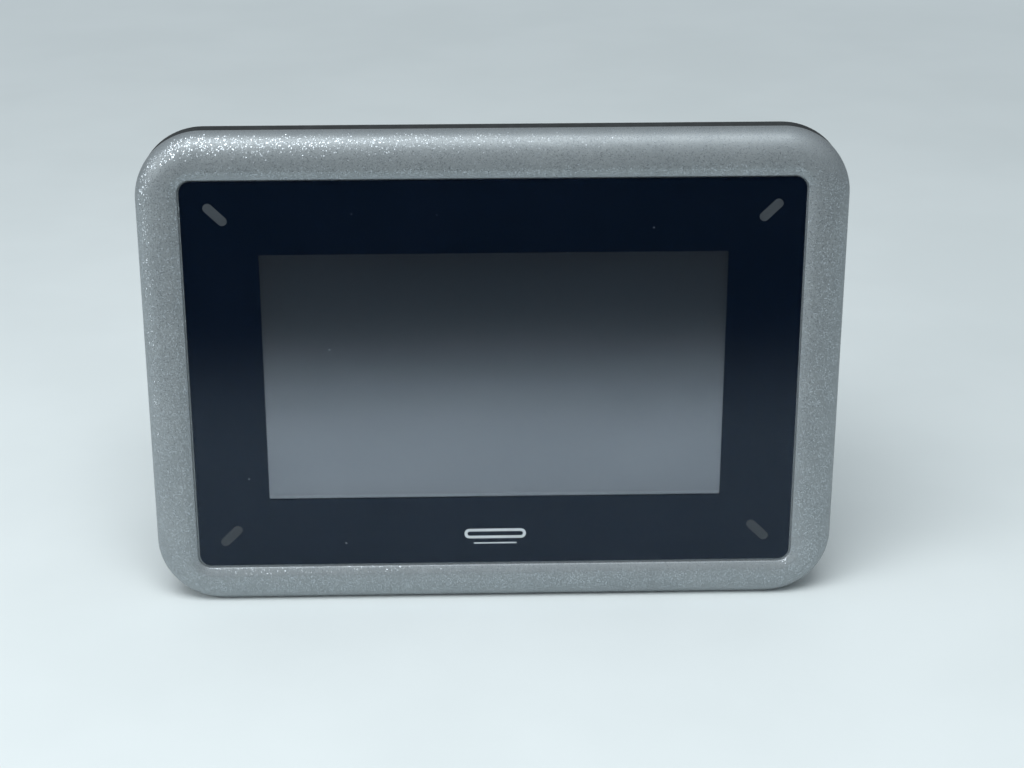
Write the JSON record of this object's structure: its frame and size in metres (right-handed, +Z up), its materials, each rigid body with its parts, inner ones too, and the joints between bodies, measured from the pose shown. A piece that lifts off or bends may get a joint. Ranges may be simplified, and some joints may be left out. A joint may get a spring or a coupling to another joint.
{
  "type": "hmi touch panel",
  "caption": "Flush-mount operator touch panel with a rounded silver frame, dark touch overlay, boxed rear housing, sockets underneath and a side slot for a memory card.",
  "frame": {"origin": "centre of the touch surface, on the front face of the overlay", "axes": "+X to the viewer's right, +Y from the viewer into the cabinet, +Z up"},
  "size_m": [0.145, 0.0465, 0.1046],
  "materials": {
    "silver_coat": "die-cast aluminium under a fine textured silver-grey powder coat",
    "rubber": "matt",
    "overlay": "hard-coated polyester film, printed behind, with a clear window",
    "glass": "clear",
    "screen": "dark, display switched off",
    "white_sheet": "translucent white",
    "flex": "amber polyimide",
    "steel": "tinned sheet",
    "zinc": "zinc plated",
    "board": "green solder mask",
    "black_plastic": "moulded",
    "plug_green": "moulded green",
    "switch_red": "moulded red",
    "white_plastic": "moulded white",
    "label": "satin, blank"
  },
  "bodies": {
    "panel": {"front_bezel": "silver_coat", "panel_gasket": "rubber", "touch_overlay": "overlay", "touch_glass": "glass", "touch_tail": "flex", "display_gasket": "rubber", "display_frame": "steel", "display_cell": "screen", "diffuser_film": "white_sheet", "light_guide": "glass", "backlight_tray": "white_plastic", "led_strip": "white_plastic", "display_flex": "flex", "rear_housing": "silver_coat", "back_cover": "silver_coat", "label_plate": "label", "main_board": "board", "processor": "black_plastic", "power_inductor": "black_plastic", "input_capacitor": "zinc", "coin_cell_holder": "black_plastic", "coin_cell": "steel", "display_connector": "white_plastic", "touch_connector": "white_plastic", "ethernet_shield": "steel", "ethernet_insert": "black_plastic", "usb_shell": "steel", "usb_tongue": "white_plastic", "serial_shell": "steel", "serial_insert": "black_plastic", "serial_jackscrew_left": "zinc", "serial_jackscrew_right": "zinc", "power_header": "plug_green", "card_socket": "steel", "mode_switch_base": "switch_red", "ground_screw": "zinc", "frame_screw_1": "zinc", "cover_screw_1": "zinc", "board_screw_1": "zinc", "frame_screw_2": "zinc", "cover_screw_2": "zinc", "board_screw_2": "zinc", "frame_screw_3": "zinc", "cover_screw_3": "zinc", "board_screw_3": "zinc", "frame_screw_4": "zinc", "cover_screw_4": "zinc", "board_screw_4": "zinc"},
    "memory_card": {"memory_card": "black_plastic"},
    "power_plug": {"power_plug": "plug_green"},
    "mode_switch_slider_1": {"mode_switch_slider_1": "white_plastic"},
    "mode_switch_slider_2": {"mode_switch_slider_2": "white_plastic"},
    "mode_switch_slider_3": {"mode_switch_slider_3": "white_plastic"},
    "mode_switch_slider_4": {"mode_switch_slider_4": "white_plastic"},
    "power_screw_1": {"power_screw_1": "zinc"},
    "power_screw_2": {"power_screw_2": "zinc"},
    "power_screw_3": {"power_screw_3": "zinc"},
    "wire_clamp_1": {"wire_clamp_1": "zinc"},
    "wire_clamp_2": {"wire_clamp_2": "zinc"},
    "wire_clamp_3": {"wire_clamp_3": "zinc"}
  },
  "joints": [
    {"name": "card_slide", "type": "slide", "parent": "panel", "child": "memory_card", "axis": [-1, 0, 0], "range_m": [-0.0008, 0.022]},
    {"name": "mode_switch_1", "type": "slide", "parent": "panel", "child": "mode_switch_slider_1", "axis": [0, 1, 0], "range_m": [0, 0.0013]},
    {"name": "mode_switch_2", "type": "slide", "parent": "panel", "child": "mode_switch_slider_2", "axis": [0, 1, 0], "range_m": [0, 0.0013]},
    {"name": "mode_switch_3", "type": "slide", "parent": "panel", "child": "mode_switch_slider_3", "axis": [0, 1, 0], "range_m": [0, 0.0013]},
    {"name": "mode_switch_4", "type": "slide", "parent": "panel", "child": "mode_switch_slider_4", "axis": [0, 1, 0], "range_m": [0, 0.0013]},
    {"name": "plug_pull", "type": "slide", "parent": "panel", "child": "power_plug", "axis": [0, 0, -1], "range_m": [0, 0.012]},
    {"name": "terminal_screw_1", "type": "hinge", "parent": "power_plug", "child": "power_screw_1", "pos_m": [-0.04108, 0.036, -0.0462], "axis": [0, -1, 0], "range_deg": [0, 1080]},
    {"name": "terminal_screw_2", "type": "hinge", "parent": "power_plug", "child": "power_screw_2", "pos_m": [-0.036, 0.036, -0.0462], "axis": [0, -1, 0], "range_deg": [0, 1080]},
    {"name": "terminal_screw_3", "type": "hinge", "parent": "power_plug", "child": "power_screw_3", "pos_m": [-0.03092, 0.036, -0.0462], "axis": [0, -1, 0], "range_deg": [0, 1080]},
    {"name": "clamp_rise_1", "type": "slide", "parent": "power_plug", "child": "wire_clamp_1", "axis": [0, 1, 0], "range_m": [0, 0.0015]},
    {"name": "clamp_rise_2", "type": "slide", "parent": "power_plug", "child": "wire_clamp_2", "axis": [0, 1, 0], "range_m": [0, 0.0015]},
    {"name": "clamp_rise_3", "type": "slide", "parent": "power_plug", "child": "wire_clamp_3", "axis": [0, 1, 0], "range_m": [0, 0.0015]}
  ],
  "couplings": [
    {"joint": "terminal_screw_1", "follows": "clamp_rise_1", "rad_per_m": 12566},
    {"joint": "terminal_screw_2", "follows": "clamp_rise_2", "rad_per_m": 12566},
    {"joint": "terminal_screw_3", "follows": "clamp_rise_3", "rad_per_m": 12566}
  ]
}
